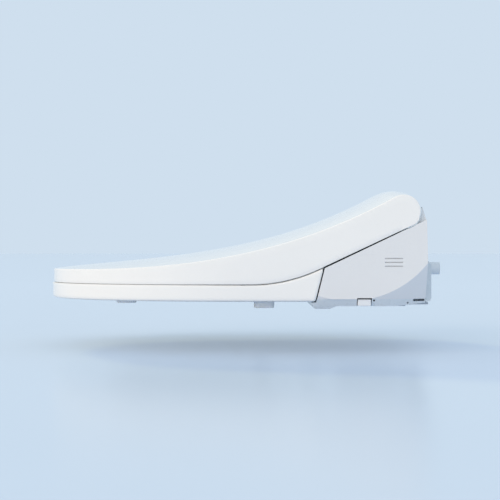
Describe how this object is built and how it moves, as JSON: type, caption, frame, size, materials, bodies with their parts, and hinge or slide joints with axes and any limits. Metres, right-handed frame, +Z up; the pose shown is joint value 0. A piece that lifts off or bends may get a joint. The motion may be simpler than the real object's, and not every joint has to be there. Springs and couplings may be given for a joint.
{
  "type": "electric bidet seat",
  "caption": "Electric bidet toilet seat with soft-close lid, heated seat ring, base with wash wands, dryer and deodorizer, and a slide-on mounting plate.",
  "frame": {"origin": "middle of the line through the two fixing slots, on the plane of the toilet rim (the underside of the mounting plate)", "axes": "+Z up, -Y towards the front of the bowl, +X the user's left, the side with the air intake and the release button"},
  "size_m": [0.3806, 0.541, 0.1594],
  "materials": {
    "white_gloss": "gloss",
    "grey_white": "satin",
    "damper_grey": "satin",
    "dark_plastic": "matte",
    "inner_grey": "matte",
    "zinc_steel": "satin",
    "heater_ceramic": "matte",
    "carbon_black": "matte",
    "steel": "satin",
    "valve_white": "satin",
    "copper_coil": "satin",
    "inlet_plastic": "satin",
    "inlet_dark": "satin",
    "silicone_pipe": "satin",
    "board_green": "satin",
    "gland_rubber": "matte",
    "cover_white": "gloss",
    "window_black": "gloss",
    "heater_foil": "satin",
    "clear_rubber": "satin",
    "wand_white": "gloss",
    "gear_acetal": "satin",
    "button_white": "satin",
    "plate_grey": "satin"
  },
  "bodies": {
    "base": {"upper_cover": "cover_white", "lower_chassis": "grey_white", "rear_panel": "grey_white", "hinge_towers": "damper_grey", "hinge_dampers": "dark_plastic", "nozzle_guide": "inner_grey", "wand_motors": "zinc_steel", "blower_housing": "inner_grey", "blower_motor": "zinc_steel", "dryer_duct": "dark_plastic", "dryer_heater": "heater_ceramic", "deodorizer_housing": "inner_grey", "carbon_filter": "carbon_black", "water_tank": "inner_grey", "tank_element": "steel", "inlet_valve": "valve_white", "valve_coil": "copper_coil", "inlet_connector": "inlet_plastic", "inlet_nut": "inlet_dark", "diverter_valve": "valve_white", "water_pipes": "silicone_pipe", "control_board": "board_green", "board_parts": "dark_plastic", "power_supply": "zinc_steel", "cord_gland": "gland_rubber", "case_screws": "steel", "receiver_window": "window_black"},
    "seat": {"seat_top": "white_gloss", "seat_bottom": "grey_white", "seat_heater": "heater_foil", "seat_bumpers": "clear_rubber", "seat_hinge_pins": "steel"},
    "lid": {"lid_shell": "white_gloss", "lid_lugs": "white_gloss", "lid_hinge_pins": "steel", "lid_bumpers": "clear_rubber"},
    "wash_wand": {"wash_wand": "wand_white", "wash_tip": "steel"},
    "bidet_wand": {"bidet_wand": "wand_white", "bidet_tip": "steel"},
    "wash_pinion": {"wash_pinion": "gear_acetal"},
    "bidet_pinion": {"bidet_pinion": "gear_acetal"},
    "blower_impeller": {"blower_impeller": "dark_plastic"},
    "deodorizer_rotor": {"deodorizer_rotor": "dark_plastic"},
    "dryer_flap": {"dryer_flap": "grey_white"},
    "power_button": {"power_button": "button_white"},
    "wash_button": {"wash_button": "button_white"},
    "release_button": {"release_button": "button_white", "release_latch": "steel"},
    "mounting_plate": {"mounting_plate": "plate_grey"}
  },
  "joints": [
    {"name": "seat_hinge", "type": "hinge", "parent": "base", "child": "seat", "pos_m": [0, 0.008, 0.126], "axis": [1, 0, 0], "range_deg": [-95, 0]},
    {"name": "lid_hinge", "type": "hinge", "parent": "seat", "child": "lid", "pos_m": [0, 0.008, 0.126], "axis": [-1, 0, 0], "range_deg": [0, 108]},
    {"name": "wash_wand_slide", "type": "slide", "parent": "base", "child": "wash_wand", "axis": [0, -0.8192, -0.5736], "range_m": [0, 0.075]},
    {"name": "bidet_wand_slide", "type": "slide", "parent": "base", "child": "bidet_wand", "axis": [0, -0.8192, -0.5736], "range_m": [0, 0.075]},
    {"name": "wash_pinion_spin", "type": "hinge", "parent": "base", "child": "wash_pinion", "pos_m": [0.0305, -0.06343, 0.02881], "axis": [0, -0.5736, 0.8192], "range_deg": [0, 480]},
    {"name": "bidet_pinion_spin", "type": "hinge", "parent": "base", "child": "bidet_pinion", "pos_m": [-0.0305, -0.06343, 0.02881], "axis": [0, -0.5736, 0.8192], "range_deg": [-480, 0]},
    {"name": "blower_spin", "type": "hinge", "parent": "base", "child": "blower_impeller", "pos_m": [0.14, -0.008, 0.048], "axis": [1, 0, 0], "continuous": true},
    {"name": "deodorizer_spin", "type": "hinge", "parent": "base", "child": "deodorizer_rotor", "pos_m": [-0.06, -0.07, 0.012], "axis": [0, 0, 1], "continuous": true},
    {"name": "dryer_flap_hinge", "type": "hinge", "parent": "base", "child": "dryer_flap", "pos_m": [0.066, -0.0872, 0.0019], "axis": [1, 0, 0], "range_deg": [0, 55], "stiffness_Nm_per_rad": 0.002, "springref_deg": -22.92},
    {"name": "power_button_press", "type": "slide", "parent": "base", "child": "power_button", "axis": [1, 0, 0], "range_m": [0, 0.0015], "stiffness_N_per_m": 400},
    {"name": "wash_button_press", "type": "slide", "parent": "base", "child": "wash_button", "axis": [1, 0, 0], "range_m": [0, 0.0015], "stiffness_N_per_m": 400},
    {"name": "release_button_press", "type": "slide", "parent": "base", "child": "release_button", "axis": [-1, 0, 0], "range_m": [0, 0.004], "stiffness_N_per_m": 300},
    {"name": "mounting_plate_slide", "type": "slide", "parent": "base", "child": "mounting_plate", "axis": [0, 1, 0], "range_m": [0, 0.05]}
  ],
  "couplings": [
    {"joint": "wash_pinion_spin", "follows": "wash_wand_slide", "rad_per_m": 111.11},
    {"joint": "bidet_pinion_spin", "follows": "bidet_wand_slide", "rad_per_m": -111.11}
  ]
}
